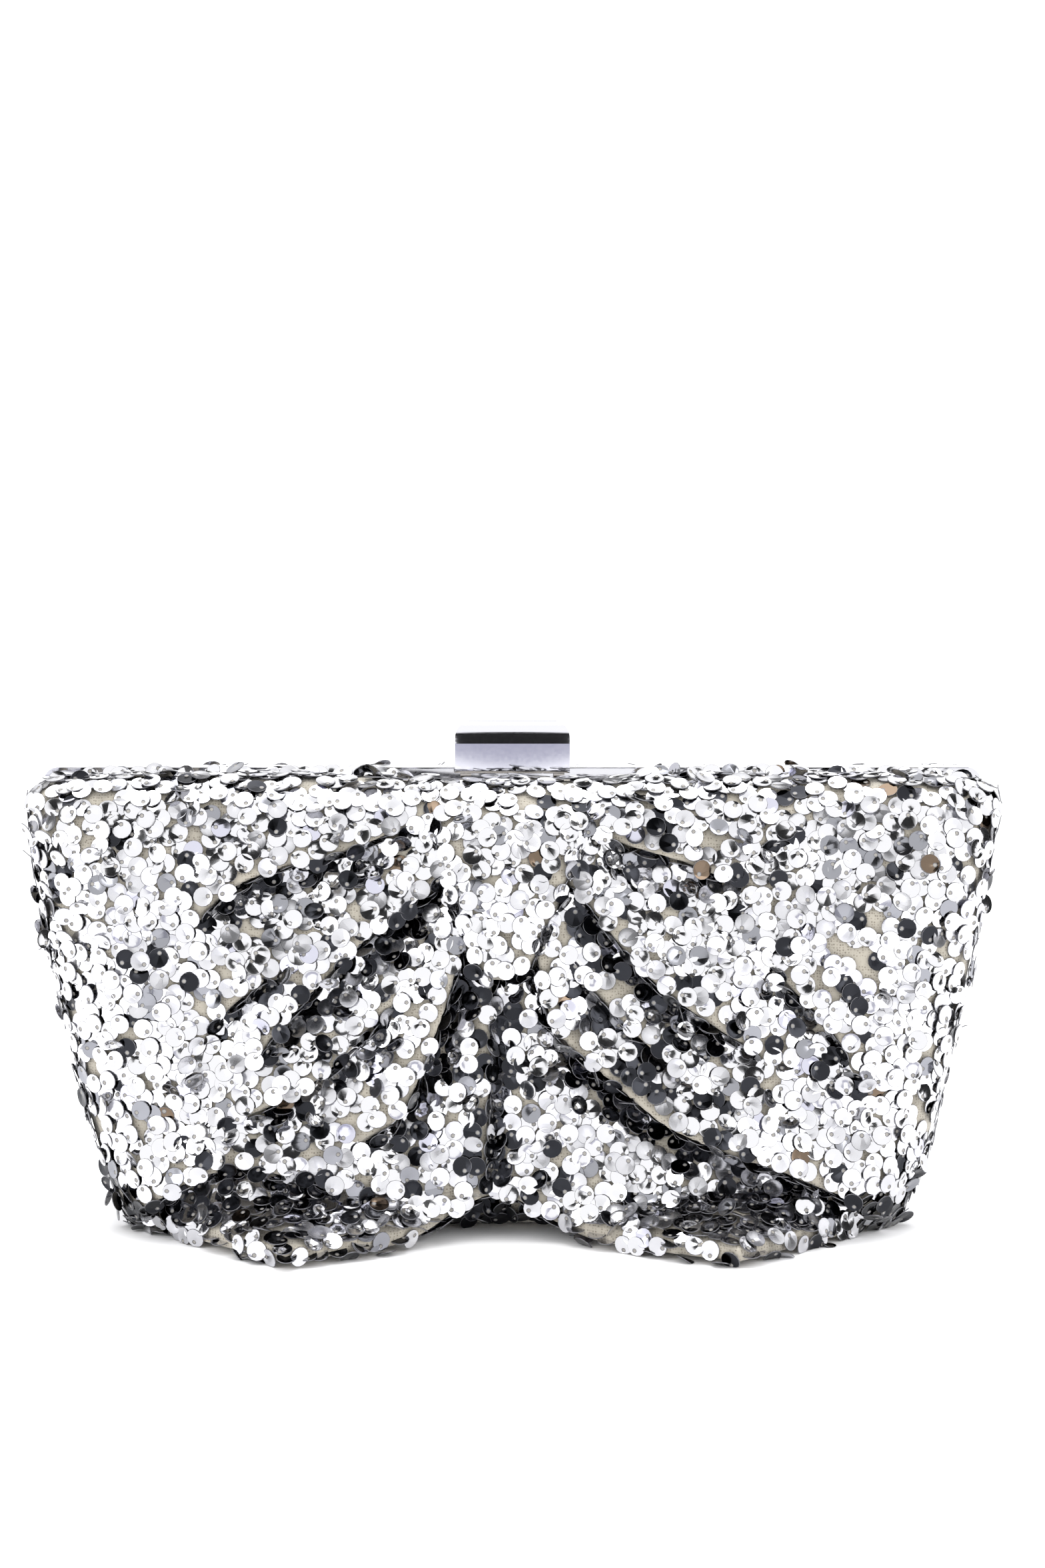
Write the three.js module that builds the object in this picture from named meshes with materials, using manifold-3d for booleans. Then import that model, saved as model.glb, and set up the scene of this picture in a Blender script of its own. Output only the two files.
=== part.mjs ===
// A structured evening clutch: two padded, fabric-covered shells in a metal frame that is hinged along
// the base, a flip-over clasp on top, and a pleated bow on the front whose two loops rest on the table.
// Millimetres, +Z up, +X to the right when the front (-Y) faces the viewer.
// The halves are modelled about their parting plane at y = 0, and the finished group is then centred
// on its base.
import * as THREE from "three";
import { mergeVertices } from "three/addons/utils/BufferGeometryUtils.js";
import Module from "manifold-3d";

const wasm = await Module();
wasm.setup();

// Body
const topWidth = 254; // across the covered body at its top
const bottomWidth = 206; // across the covered body at its base
const bodyHeight = 117.6; // base to the top of the cover
const halfDepth = 29; // parting plane to the covered front or back
const topCorner = 5;
const bottomCorner = 14;
const edgeRound = 12; // how far in from the outline the front edge is rounded
const wallDepth = 17; // straight part of the side wall, before the rounding
const clearance = 0.3; // gap between pieces that touch
const coverThickness = 1.2;
const paddingThickness = 1.5;
const shellWall = 2;
const liningThickness = 0.8;

// Frame
const partingGap = 0.3; // between the two frame halves
const frameDepth = 3.85; // of one half, front to back
const frameRise = 3; // frame top above the cover
const frameInset = 1.5; // frame side in from the cover's side
const frameBar = 3.8; // bar width at the sides
const flangeThickness = 0.8;
const flangeDepth = 6;

// Base hinge
const hingeHeight = 2; // axis above the table
const hingeFromEnd = 31; // middle of each hinge in from the end of the base
const hingeLength = 16;
const endKnuckle = 4.5;
const knuckleRadius = 1.75;
const pinRadius = 0.8;
const pinHeadRadius = 1.4;
const pinHead = 0.6;

// Clasp
const claspWidth = 30.6;
const claspRise = 12.7; // clasp top above the frame top
const claspDrop = 1.1; // foot of the clasp's face below the frame top
const claspWall = 0.8;
const claspCorner = 5;
const claspFaceAhead = 2.2; // clasp face ahead of the clasp pin
const claspAxisAhead = 1.4; // clasp pin ahead of the frame's face
const claspBackAhead = 1.4; // clasp's back behind the frame's back
const tongueInset = 0.7; // catch tongue in from the frame's back
const claspAxisDrop = 0.4; // clasp pin below the frame top
const claspBarrel = 1.05;
const claspPinRadius = 0.45;
const claspBore = 0.7;
const flapKnuckle = 16; // length of the flap's middle knuckle
const basePlate = 0.8; // thickness of the clasp and catch plates
const rivetFromEnd = 3.3; // rivet centre in from the clasp's end
const rivetRadius = 0.7;
const rivetHeadRadius = 1.3;
const rivetHead = 0.6;
const latchPlay = 0.3; // between the catch tongue and the flap's lip
const tongueRise = 2.2; // catch tongue above the frame top
const lipRise = 1; // underside of the flap's lip above the frame top
const tabDrop = 2.6; // foot of the clasp base's tabs below the frame top

// Bow
const bowBase = 3; // thickness of the bow at the top of the front
const loopReach = 36; // loop tips ahead of the covered front, on the table
const loopPlace = 58; // loop tips from the bag's middle
const loopSpread = 32;
const loopHalf = 38; // half the width of a loop's under layer, on the side next to the other loop
const loopFromEnd = 11; // under layer in from the end of the base
const underThickness = 7;
const knotWidth = 44;
const knotFoot = 14;
const knotHeight = 46;
const knotThickness = 4;

// Inside
const pocketWidth = 120;
const pocketBottom = 22; // above the table
const pocketDrop = 34.5; // pocket mouth below the top of the cover
const satinThickness = 0.6;
const gussetFold = 15; // depth of the fold
const gussetShort = 0.25; // gusset's edges short of the frame's depth
const gussetReach = frameDepth - gussetShort; // either way from the parting plane
const gussetMargin = 9; // gore's ends in from the top and bottom of the body

const frameTop = bodyHeight + frameRise;
const slope = (topWidth - bottomWidth) / 2 / bodyHeight;
const perSide = Math.hypot(1, slope); // horizontal width of one millimetre of wall

const xy = (x, y) => new THREE.Vector2(x, y);
const dropY = (p) => xy(p.x, p.z);
const dropZ = (p) => xy(p.x, p.y);

// ---------- geometry helpers ----------

const spread = (from, to, count) =>
  Array.from({ length: count + 1 }, (_, i) => from + ((to - from) * i) / count);

// A polygon with an arc of the given radius at each corner.
function roundedPolygon(corners, radii, steps = 5) {
  return corners.flatMap((corner, i) => {
    const toLast = corners.at(i - 1).clone().sub(corner).normalize();
    const toNext = corners[(i + 1) % corners.length].clone().sub(corner).normalize();
    const half = Math.acos(toLast.dot(toNext)) / 2;
    const middle = toLast.clone().add(toNext).normalize();
    const centre = corner.clone().addScaledVector(middle, radii[i] / Math.sin(half));
    const start = corner.clone().addScaledVector(toLast, radii[i] / Math.tan(half)).sub(centre);
    const turn = (Math.PI - 2 * half) * Math.sign(toNext.cross(toLast));
    return Array.from({ length: steps + 1 }, (_, k) =>
      start.clone().rotateAround(xy(0, 0), (turn * k) / steps).add(centre));
  });
}

// The body's tapered outline, in x and z, moved in from the cover's outline by the given insets.
function bodyOutline(side, top = side, bottom = side) {
  const low = bottom;
  const high = bodyHeight - top;
  const halfWidth = (z) => bottomWidth / 2 + slope * z - side * perSide;
  const corners = [
    xy(-halfWidth(low), low), xy(halfWidth(low), low),
    xy(halfWidth(high), high), xy(-halfWidth(high), high),
  ];
  const bottomRadius = Math.max(bottomCorner - side, 2);
  const topRadius = Math.max(topCorner - side, 2);
  return roundedPolygon(corners, [bottomRadius, bottomRadius, topRadius, topRadius]);
}

function facingOut(geometry) {
  const p = geometry.getAttribute("position");
  const index = geometry.index.array;
  const corner = (i) => new THREE.Vector3().fromBufferAttribute(p, index[i]);
  let volume = 0;
  for (let i = 0; i < index.length; i += 3) volume += corner(i).dot(corner(i + 1).cross(corner(i + 2)));
  if (volume < 0) index.reverse();
  return geometry;
}

// The triangles that fill an outline, turning the way the outline does.
function cap(outline) {
  const faces = THREE.ShapeUtils.triangulateShape(outline, []);
  const [a, b, c] = faces[0].map((i) => outline[i]);
  const along = THREE.ShapeUtils.area([a, b, c]) * THREE.ShapeUtils.area(outline) > 0;
  return along ? faces : faces.map((face) => face.reverse());
}

// A closed solid through a stack of outlines with equally many points; flatten gives a cap's 2-D points.
function loft(rings, flatten) {
  const n = rings[0].length;
  const last = (rings.length - 1) * n;
  const index = [];
  for (let start = 0; start < last; start += n) {
    for (let i = 0; i < n; i++) {
      const next = (i + 1) % n;
      index.push(start + i, start + next, start + n + next, start + i, start + n + next, start + n + i);
    }
  }
  for (const [a, b, c] of cap(rings[0].map(flatten))) index.push(c, b, a);
  for (const [a, b, c] of cap(rings.at(-1).map(flatten))) index.push(last + a, last + b, last + c);
  const geometry = new THREE.BufferGeometry().setFromPoints(rings.flat()).setIndex(index);
  return facingOut(geometry);
}

// A flat plate whose outline lies in x and z, from y = from to y = to.
function plate(outline, from, to) {
  const made = new THREE.ExtrudeGeometry(new THREE.Shape(outline), { depth: to - from, bevelEnabled: false });
  return made.rotateX(Math.PI / 2).translate(0, to, 0);
}

// A bar whose section lies in y and z, from x = from to x = to.
function bar(section, from, to) {
  const made = new THREE.ExtrudeGeometry(new THREE.Shape(section), { depth: to - from, bevelEnabled: false });
  return made.rotateY(Math.PI / 2).rotateX(Math.PI / 2).translate(from, 0, 0);
}

function block(x0, x1, y0, y1, z0, z1) {
  return new THREE.BoxGeometry(x1 - x0, y1 - y0, z1 - z0)
    .translate((x0 + x1) / 2, (y0 + y1) / 2, (z0 + z1) / 2);
}

function rodAlongX(radius, x0, x1, y, z, sides = 20) {
  return new THREE.CylinderGeometry(radius, radius, x1 - x0, sides)
    .rotateZ(Math.PI / 2).translate((x0 + x1) / 2, y, z);
}

function rodAlongZ(radius, z0, z1, x, y, sides = 16) {
  return new THREE.CylinderGeometry(radius, radius, z1 - z0, sides)
    .rotateX(Math.PI / 2).translate(x, y, (z0 + z1) / 2);
}

function solid(geometry) {
  const bare = geometry.index ? geometry.toNonIndexed() : geometry.clone();
  bare.deleteAttribute("normal");
  bare.deleteAttribute("uv");
  const merged = mergeVertices(bare, 1e-4);
  return new wasm.Manifold(new wasm.Mesh({
    numProp: 3,
    vertProperties: merged.getAttribute("position").array,
    triVerts: new Uint32Array(merged.index.array),
  }));
}

function geometryOf(manifold) {
  const mesh = manifold.getMesh();
  return new THREE.BufferGeometry()
    .setAttribute("position", new THREE.BufferAttribute(mesh.vertProperties, 3))
    .setIndex(new THREE.BufferAttribute(mesh.triVerts, 1));
}

// Joins the first list of shapes and cuts the second list out of the result.
function cut(shapes, cutters) {
  const body = shapes.map(solid).reduce((a, b) => a.add(b));
  return geometryOf(cutters.map(solid).reduce((a, b) => a.subtract(b), body));
}

// ---------- the two shells and their layers ----------

// A filled tray: straight side walls from the rim, then a rounded edge. side is -1 for the front half
// and +1 for the back.
function tray(side, rim, inset, depth, straight = wallDepth) {
  const steps = 5;
  const rings = [bodyOutline(inset).map((p) => new THREE.Vector3(p.x, side * rim, p.y))];
  for (let i = 0; i <= steps; i++) {
    const angle = (i / steps) * Math.PI / 2;
    const y = side * (straight + (depth - straight) * Math.sin(angle));
    const outline = bodyOutline(inset + edgeRound * (1 - Math.cos(angle)));
    rings.push(outline.map((p) => new THREE.Vector3(p.x, y, p.y)));
  }
  return loft(rings, dropY);
}

const rimDepth = partingGap / 2 + frameDepth + clearance;

// A tray with a wall of the given thickness, open at the parting plane.
function openTray(side, inset, depth, thickness, straight) {
  const outer = tray(side, rimDepth, inset, depth, straight);
  const inner = tray(side, rimDepth - 1, inset + thickness, depth - thickness, straight);
  return cut([outer], [inner]);
}

const shellInset = coverThickness + clearance;
const shellDepth = halfDepth - coverThickness - paddingThickness - 2 * clearance;
const flangeInset = shellInset + shellWall + clearance;
const liningInset = flangeInset + flangeThickness + clearance;
const liningDepth = shellDepth - shellWall - clearance;
const liningStraight = wallDepth - 3;
const cavityInset = liningInset + liningThickness;

const cover = (side) => openTray(side, 0, halfDepth, coverThickness);
const shell = (side) => openTray(side, shellInset, shellDepth, shellWall);
const lining = (side) => openTray(side, liningInset, liningDepth, liningThickness, liningStraight);

function padding(side) {
  const near = shellDepth + clearance;
  const [from, to] = [side * near, side * (near + paddingThickness)].sort((a, b) => a - b);
  return plate(bodyOutline(edgeRound + 2 * coverThickness), from, to);
}

// ---------- frame and base hinge ----------

const hingeCentre = bottomWidth / 2 - hingeFromEnd;
const axisBore = pinRadius + clearance;
const hingeEnds = (x) => [x - hingeLength / 2, x + hingeLength / 2];

// The stretches of one hinge that belong to the front half (its two ends) or to the back half (its middle).
function knuckleSpans(x, side) {
  const [start, end] = hingeEnds(x);
  return side < 0
    ? [[start, start + endKnuckle], [end - endKnuckle, end]]
    : [[start + endKnuckle + clearance, end - endKnuckle - clearance]];
}

function frameHalf(side, rivetHoles) {
  const near = side * partingGap / 2;
  const span = (a, b) => [Math.min(a, b), Math.max(a, b)];
  const [y0, y1] = span(near, near + side * frameDepth);
  const [f0, f1] = span(near + side * frameDepth * 0.8, near + side * (frameDepth + flangeDepth));
  const barInner = bodyOutline(frameInset + frameBar);
  const outer = plate(bodyOutline(frameInset, -frameRise, hingeHeight), y0, y1);
  const window = plate(barInner, y0 - 1, y1 + 1);
  const flange = cut(
    [plate(bodyOutline(flangeInset), f0, f1)],
    [plate(bodyOutline(flangeInset + flangeThickness), f0 - 1, f1 + 1)],
  );
  const hinges = [-hingeCentre, hingeCentre];
  const relief = hinges.map((x) => {
    const [start, end] = hingeEnds(x);
    const over = pinHead + 3 * clearance;
    return rodAlongX(knuckleRadius + clearance, start - over, end + over, 0, hingeHeight, 24);
  });
  const spans = hinges.flatMap((x) => knuckleSpans(x, side));
  const barrels = spans.map(([a, b]) => rodAlongX(knuckleRadius, a, b, 0, hingeHeight, 24));
  const [w0, w1] = span(near + side * 0.45, near + side * 2.85);
  const webs = spans.map(([a, b]) => block(a, b, w0, w1, hingeHeight, hingeHeight + 1.6));
  const bores = hinges.map((x) => rodAlongX(axisBore, x - hingeLength, x + hingeLength, 0, hingeHeight));
  const ring = cut([cut([outer], [window, ...relief]), flange], []);
  return cut([ring, ...webs, ...barrels], [...bores, ...rivetHoles]);
}

function hingePin(x) {
  const [start, end] = hingeEnds(x);
  const head = (from) => rodAlongX(pinHeadRadius, from, from + pinHead, 0, hingeHeight, 16);
  const shank = rodAlongX(pinRadius, start - clearance - 0.1, end + clearance + 0.1, 0, hingeHeight, 16);
  return cut([shank, head(start - clearance - pinHead), head(end + clearance)], []);
}

// ---------- clasp ----------

const frameFace = partingGap / 2 + frameDepth;
const axisY = -frameFace - claspAxisAhead;
const claspFront = -axisY + claspFaceAhead;
const claspBack = frameFace + claspBackAhead;
const axisZ = frameTop - claspAxisDrop;
const plateTop = frameTop + basePlate;
const halfClasp = claspWidth / 2;
const rivetY = partingGap / 2 + frameDepth / 2;
const rivetX = halfClasp - rivetFromEnd;
const latchHalf = rivetX - rivetHeadRadius - 1.7; // half the width of the catch tongue and of the flap's lip
const rivetHoles = (side) => [-rivetX, rivetX].map((x) =>
  rodAlongZ(rivetRadius + clearance, frameTop - 12, plateTop + 1, x, side * rivetY));

function rivet(side, x) {
  const shank = rodAlongZ(rivetRadius, frameTop - 3, plateTop + 0.2, x, side * rivetY, 12);
  const head = rodAlongZ(rivetHeadRadius, plateTop + 0.1, plateTop + 0.1 + rivetHead, x, side * rivetY, 12);
  return cut([shank, head], []);
}

// The flap's side view, in y and z, moved in by the given amount; open below when it is the inside.
function flapSection(inset, foot) {
  const top = frameTop + claspRise - inset;
  const front = -claspFront + inset;
  const back = claspBack - inset;
  const curve = new THREE.Path();
  curve.moveTo(front, foot);
  curve.lineTo(front, top - 6.2);
  curve.bezierCurveTo(front, top - 2.4, front + 1.9, top, front + 5.2, top);
  curve.lineTo(back - 3.9, top);
  curve.bezierCurveTo(back - 1.4, top, back, top - 1.5, back, top - 3.7);
  curve.lineTo(back, foot);
  return curve.getPoints(6);
}

function flapBlock(inset, foot) {
  const half = halfClasp - inset;
  const corners = [
    xy(-half, foot), xy(half, foot),
    xy(half, frameTop + claspRise - inset), xy(-half, frameTop + claspRise - inset),
  ];
  const face = roundedPolygon(corners, [0.4, 0.4, claspCorner - inset, claspCorner - inset], 6);
  const depth = plate(face, -claspFront - 1, claspBack + 1);
  return solid(bar(flapSection(inset, foot), -half - 1, half + 1)).intersect(solid(depth));
}

const claspBoreRod = () => rodAlongX(claspBore, -halfClasp - 1, halfClasp + 1, axisY, axisZ, 12);
const tongueBack = frameFace - tongueInset;

function claspFlap() {
  const foot = frameTop + clearance;
  const hollow = flapBlock(0, foot).subtract(flapBlock(claspWall, foot - 5));
  const faceBack = -claspFront + claspWall;
  const face = block(-halfClasp, halfClasp, -claspFront, faceBack, frameTop - claspDrop, foot + 0.2);
  const knuckle = rodAlongX(claspBarrel, -flapKnuckle / 2, flapKnuckle / 2, axisY, axisZ);
  const webFront = -claspFront + claspWall / 2;
  const web = block(-flapKnuckle / 2, flapKnuckle / 2, webFront, axisY, axisZ - 0.5, axisZ + 0.5);
  const lipFront = tongueBack + latchPlay;
  const lipFoot = frameTop + lipRise;
  const lip = block(-latchHalf, latchHalf, lipFront, claspBack - claspWall / 2, lipFoot, lipFoot + 0.6);
  return cut([geometryOf(hollow), face, knuckle, web, lip], [claspBoreRod()]);
}

function claspBase() {
  const barrelSpan = [flapKnuckle / 2 + clearance, halfClasp - claspWall - 2 * clearance];
  const mirrored = [[-barrelSpan[1], -barrelSpan[0]], barrelSpan];
  const foot = block(-halfClasp + 1.2, halfClasp - 1.2, -frameFace, -0.4, frameTop, plateTop);
  const barrels = mirrored.map(([a, b]) => rodAlongX(claspBarrel, a, b, axisY, axisZ));
  const [earFront, earBack] = [axisY + 0.4, -frameFace - clearance];
  const ears = mirrored.flatMap(([a, b]) => [
    block(a, b, earFront, earBack, axisZ - 0.5, plateTop),
    block(a, b, earFront, -frameFace + 0.1, frameTop + 0.05, plateTop),
  ]);
  const tabs = [-1, 1].map((s) => {
    const [a, b] = [s * (barrelSpan[1] - 2.9), s * barrelSpan[1]].sort((p, q) => p - q);
    return block(a, b, earFront, earBack, frameTop - tabDrop, axisZ);
  });
  return cut([foot, ...barrels, ...ears, ...tabs], [claspBoreRod(), ...rivetHoles(-1)]);
}

function claspSpring() {
  const z = plateTop + clearance;
  const tip = axisY + 1.75;
  const section = [
    xy(-0.6, z), xy(tip + 0.35, z), xy(tip, z + 1.5),
    xy(tip + 0.3, z + 1.5), xy(tip + 0.65, z + 0.3), xy(-0.6, z + 0.3),
  ];
  return bar(section, -6, 6);
}

const claspPin = () => rodAlongX(claspPinRadius, -halfClasp + 1.6, halfClasp - 1.6, axisY, axisZ, 12);

function catchPlate() {
  const foot = block(-halfClasp + 1.2, halfClasp - 1.2, 0.4, frameFace, frameTop, plateTop);
  const top = frameTop + tongueRise;
  const tongue = block(-latchHalf, latchHalf, tongueBack - 0.9, tongueBack, frameTop + 0.2, top);
  return cut([foot, tongue], rivetHoles(1));
}

// ---------- inside ----------

// Half of a satin gore that lies folded between the two halves and opens with them like a fan.
// hand is -1 for the left, side is -1 for the half that the front carries.
function gussetHalf(hand, side) {
  const outer = cavityInset + clearance;
  const rings = [gussetMargin, bodyHeight - gussetMargin].map((z) => {
    const x = bottomWidth / 2 + slope * z - outer * perSide;
    const section = [
      [x, gussetReach], [x - gussetFold, clearance / 2], [x - gussetFold, clearance / 2 + satinThickness],
      [x - satinThickness * 2, gussetReach],
    ];
    return section.map(([px, py]) => new THREE.Vector3(hand * px, side * py, z));
  });
  return loft(rings, dropZ);
}

function slipPocket() {
  const outer = liningDepth - liningThickness - clearance;
  const half = pocketWidth / 2;
  const mouth = bodyHeight - pocketDrop;
  const corners = [xy(-half, pocketBottom), xy(half, pocketBottom), xy(half, mouth), xy(-half, mouth)];
  return plate(roundedPolygon(corners, [8, 8, 3, 3]), outer - liningThickness, outer);
}

// ---------- bow ----------

// How far the bow stands ahead of the covered front, x across from the middle and z up.
function bowReach(x, z) {
  const down = Math.max(0, 1 - z / bodyHeight);
  const loop = Math.exp(-(((x - loopPlace) / loopSpread) ** 2));
  return bowBase + (loopReach - 9) * down ** 1.3 * (0.35 + 0.65 * loop);
}

const knotLow = bodyHeight - knotHeight;
const knotHigh = bodyHeight - 1;
const knotHalf = (z) => (knotFoot + ((knotWidth - knotFoot) * (z - knotLow)) / (knotHigh - knotLow)) / 2;

// Where a wing starts beside the knot, or beside the other wing below it.
function wingInner(z, low) {
  const parting = 1.5;
  if (z > knotLow) return knotHalf(z) + clearance;
  return parting + ((knotFoot / 2 + clearance - parting) * (z - low)) / (knotLow - low);
}

// One wing: a soft wedge that thickens towards its loop. hand is -1 for the left.
function wing(hand) {
  const back = -halfDepth - clearance;
  const low = underThickness + clearance;
  const high = bodyHeight - topCorner;
  const levels = [...spread(low, knotLow, 5), ...spread(knotLow, high, 3).slice(1)];
  const rings = levels.map((z) => {
    const inner = wingInner(z, low);
    const outer = bottomWidth / 2 + slope * z - edgeRound;
    const front = spread(inner, outer, 8).map((x) => new THREE.Vector3(hand * x, back - bowReach(x, z), z));
    return [...front, new THREE.Vector3(hand * outer, back, z), new THREE.Vector3(hand * inner, back, z)];
  });
  return loft(rings, dropZ);
}

// The under layer of one loop: it lies on the table ahead of the base and comes to a rounded point.
function underLoop(hand) {
  const back = -halfDepth - clearance;
  const inner = hand * (loopPlace - loopHalf);
  const corners = [
    xy(hand * (bottomWidth / 2 - loopFromEnd), back), xy(hand * loopPlace, back + clearance - loopReach),
    xy(inner, back - loopReach / 3), xy(inner, back),
  ];
  const outline = roundedPolygon(corners, [2, 6, 4, 1]);
  return new THREE.ExtrudeGeometry(new THREE.Shape(outline), { depth: underThickness, bevelEnabled: false });
}

// The gathered middle of the bow, a tapering pad from the frame down to where the loops part.
function centreKnot() {
  const back = -halfDepth - clearance;
  const rings = spread(knotLow, knotHigh, 3).map((z, i) => {
    const half = knotHalf(z);
    const swell = knotThickness + (5 * (3 - i)) / 3;
    const arc = spread(-1, 1, 6).map((t) =>
      new THREE.Vector3(half * t, back - bowBase / 2 - swell * (1 - t * t), z));
    return [new THREE.Vector3(half, back, z), new THREE.Vector3(-half, back, z), ...arc];
  });
  return loft(rings, dropZ);
}

// ---------- assembly ----------

const chrome = new THREE.MeshStandardMaterial({ color: 0xd9dade, roughness: 0.12, metalness: 1 });
const steel = new THREE.MeshStandardMaterial({ color: 0xb4b6b9, roughness: 0.3, metalness: 1 });
const sequins = new THREE.MeshStandardMaterial({ color: 0xc9cacb, roughness: 0.25, metalness: 0.9 });
const board = new THREE.MeshStandardMaterial({ color: 0x9a948a, roughness: 0.9, metalness: 0 });
const wadding = new THREE.MeshStandardMaterial({ color: 0xe8e6e0, roughness: 1, metalness: 0 });
const satin = new THREE.MeshStandardMaterial({ color: 0xb9b6b0, roughness: 0.45, metalness: 0 });

const bag = new THREE.Group();

function add(name, geometry, material) {
  const mesh = new THREE.Mesh(geometry, material);
  mesh.name = name;
  bag.add(mesh);
}

for (const [half, side] of [["front", -1], ["back", 1]]) {
  add(`${half}_frame`, frameHalf(side, rivetHoles(side)), chrome);
  add(`${half}_shell`, shell(side), board);
  add(`${half}_padding`, padding(side), wadding);
  add(`${half}_cover`, cover(side), sequins);
  add(`${half}_lining`, lining(side), satin);
}

for (const [hand, side] of [["left", -1], ["right", 1]]) {
  add(`hinge_pin_${hand}`, hingePin(side * hingeCentre), steel);
  add(`gusset_${hand}_front`, gussetHalf(side, -1), satin);
  add(`gusset_${hand}_back`, gussetHalf(side, 1), satin);
  add(`bow_wing_${hand}`, wing(side), sequins);
  add(`bow_under_${hand}`, underLoop(side), sequins);
  add(`clasp_rivet_${hand}`, rivet(-1, side * rivetX), steel);
  add(`catch_rivet_${hand}`, rivet(1, side * rivetX), steel);
}

add("bow_knot", centreKnot(), sequins);
add("slip_pocket", slipPocket(), satin);
add("clasp_flap", claspFlap(), chrome);
add("clasp_base", claspBase(), chrome);
add("clasp_pin", claspPin(), steel);
add("clasp_spring", claspSpring(), steel);
add("catch_plate", catchPlate(), chrome);

// The base's middle, halfway between the back and the loop tips, is the origin.
const span = new THREE.Box3().setFromObject(bag);
bag.position.y = -(span.min.y + span.max.y) / 2;

export default bag;
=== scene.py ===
"""A structured evening clutch covered in silver sequins, with a pleated bow across its front, a
chrome frame hinged along the base and a flip-over clasp. It is built up from the outside in:
covers, bow, sequins, frame, clasp, shells, lining, pocket and gussets."""

from math import cos, pi, radians, sin

import bpy
import numpy as np
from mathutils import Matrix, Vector


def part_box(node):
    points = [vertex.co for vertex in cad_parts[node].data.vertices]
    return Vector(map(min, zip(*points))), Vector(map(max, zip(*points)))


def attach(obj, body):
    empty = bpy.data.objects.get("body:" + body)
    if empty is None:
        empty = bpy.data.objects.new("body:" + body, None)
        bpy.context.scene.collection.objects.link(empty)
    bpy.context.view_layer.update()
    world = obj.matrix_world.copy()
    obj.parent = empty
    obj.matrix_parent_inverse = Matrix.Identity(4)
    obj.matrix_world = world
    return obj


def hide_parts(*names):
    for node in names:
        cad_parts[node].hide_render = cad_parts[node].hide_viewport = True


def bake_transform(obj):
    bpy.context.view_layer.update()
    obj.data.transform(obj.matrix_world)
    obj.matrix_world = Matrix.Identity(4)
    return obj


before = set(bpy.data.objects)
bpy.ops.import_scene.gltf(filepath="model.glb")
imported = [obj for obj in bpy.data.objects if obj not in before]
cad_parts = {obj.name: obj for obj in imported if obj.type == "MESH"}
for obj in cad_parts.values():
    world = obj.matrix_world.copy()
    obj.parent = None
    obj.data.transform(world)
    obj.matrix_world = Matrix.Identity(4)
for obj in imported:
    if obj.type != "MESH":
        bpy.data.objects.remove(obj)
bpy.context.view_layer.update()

# ---------------------------------------------------------------------------------------------
# The table, the light and the camera. A white sweep under a large overhead softbox, with two
# side panels; black flags in front give the sequins and the chrome something dark to reflect.

MM = 0.001


def deselect():
    bpy.ops.object.select_all(action="DESELECT")


def linear(code):
    """An sRGB hex colour as linear RGBA."""
    channels = [int(code[i : i + 2], 16) / 255 for i in (1, 3, 5)]
    return [c / 12.92 if c <= 0.04045 else ((c + 0.055) / 1.055) ** 2.4 for c in channels] + [1.0]


def add_node(material, kind, links=(), outputs=(), **settings):
    """Adds a node: settings go to its properties or its inputs, links are (output socket, input name)
    and outputs are (output name, input socket)."""
    tree = material.node_tree
    node = tree.nodes.new(kind)
    for name, value in settings.items():
        if hasattr(node, name):
            setattr(node, name, value)
        else:
            node.inputs[name.replace("_", " ")].default_value = value
    for source, name in links:
        tree.links.new(source, node.inputs[name])
    for name, target in outputs:
        tree.links.new(node.outputs[name], target)
    return node


def new_material(name, **shader):
    """A material with its Principled shader set, and the shader itself."""
    material = bpy.data.materials.new(name)
    material.use_nodes = True
    principled = material.node_tree.nodes["Principled BSDF"]
    for key, value in shader.items():
        principled.inputs[key.replace("_", " ")].default_value = value
    return material, principled


def dress(obj, *materials):
    """Puts the materials on an object in place of any it has."""
    obj.data.materials.clear()
    for material in materials:
        obj.data.materials.append(material)


TABLE = 6.0
paper, paper_shader = new_material("white_paper_sweep", Base_Color=linear("#F6F6F7"), Roughness=0.9)
deselect()
bpy.ops.mesh.primitive_plane_add(size=TABLE)
table = bpy.context.object
table.name = "table"
dress(table, paper)


def softbox(name, place, target, width, height, power):
    light = bpy.data.lights.new(name, "AREA")
    light.shape = "RECTANGLE"
    light.size = width
    light.size_y = height
    light.energy = power
    lamp = bpy.data.objects.new(name, light)
    bpy.context.scene.collection.objects.link(lamp)
    lamp.location = place
    lamp.rotation_euler = (Vector(target) - Vector(place)).to_track_quat("-Z", "Y").to_euler()


BAG = (0, 0, 0.06)
softbox("overhead", (0, 0.15, 1.5), BAG, 1.6, 1.2, 16)
softbox("left_panel", (-1.3, -0.9, 0.7), BAG, 0.9, 1.1, 9)
softbox("right_panel", (1.3, -0.9, 0.8), BAG, 0.9, 1.1, 9)

world = bpy.data.worlds.new("studio")
world.use_nodes = True
world.node_tree.nodes["Background"].inputs["Color"].default_value = linear("#FFFFFF")
world.node_tree.nodes["Background"].inputs["Strength"].default_value = 1.5
bpy.context.scene.world = world
bpy.context.scene.view_settings.view_transform = "Standard"


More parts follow.
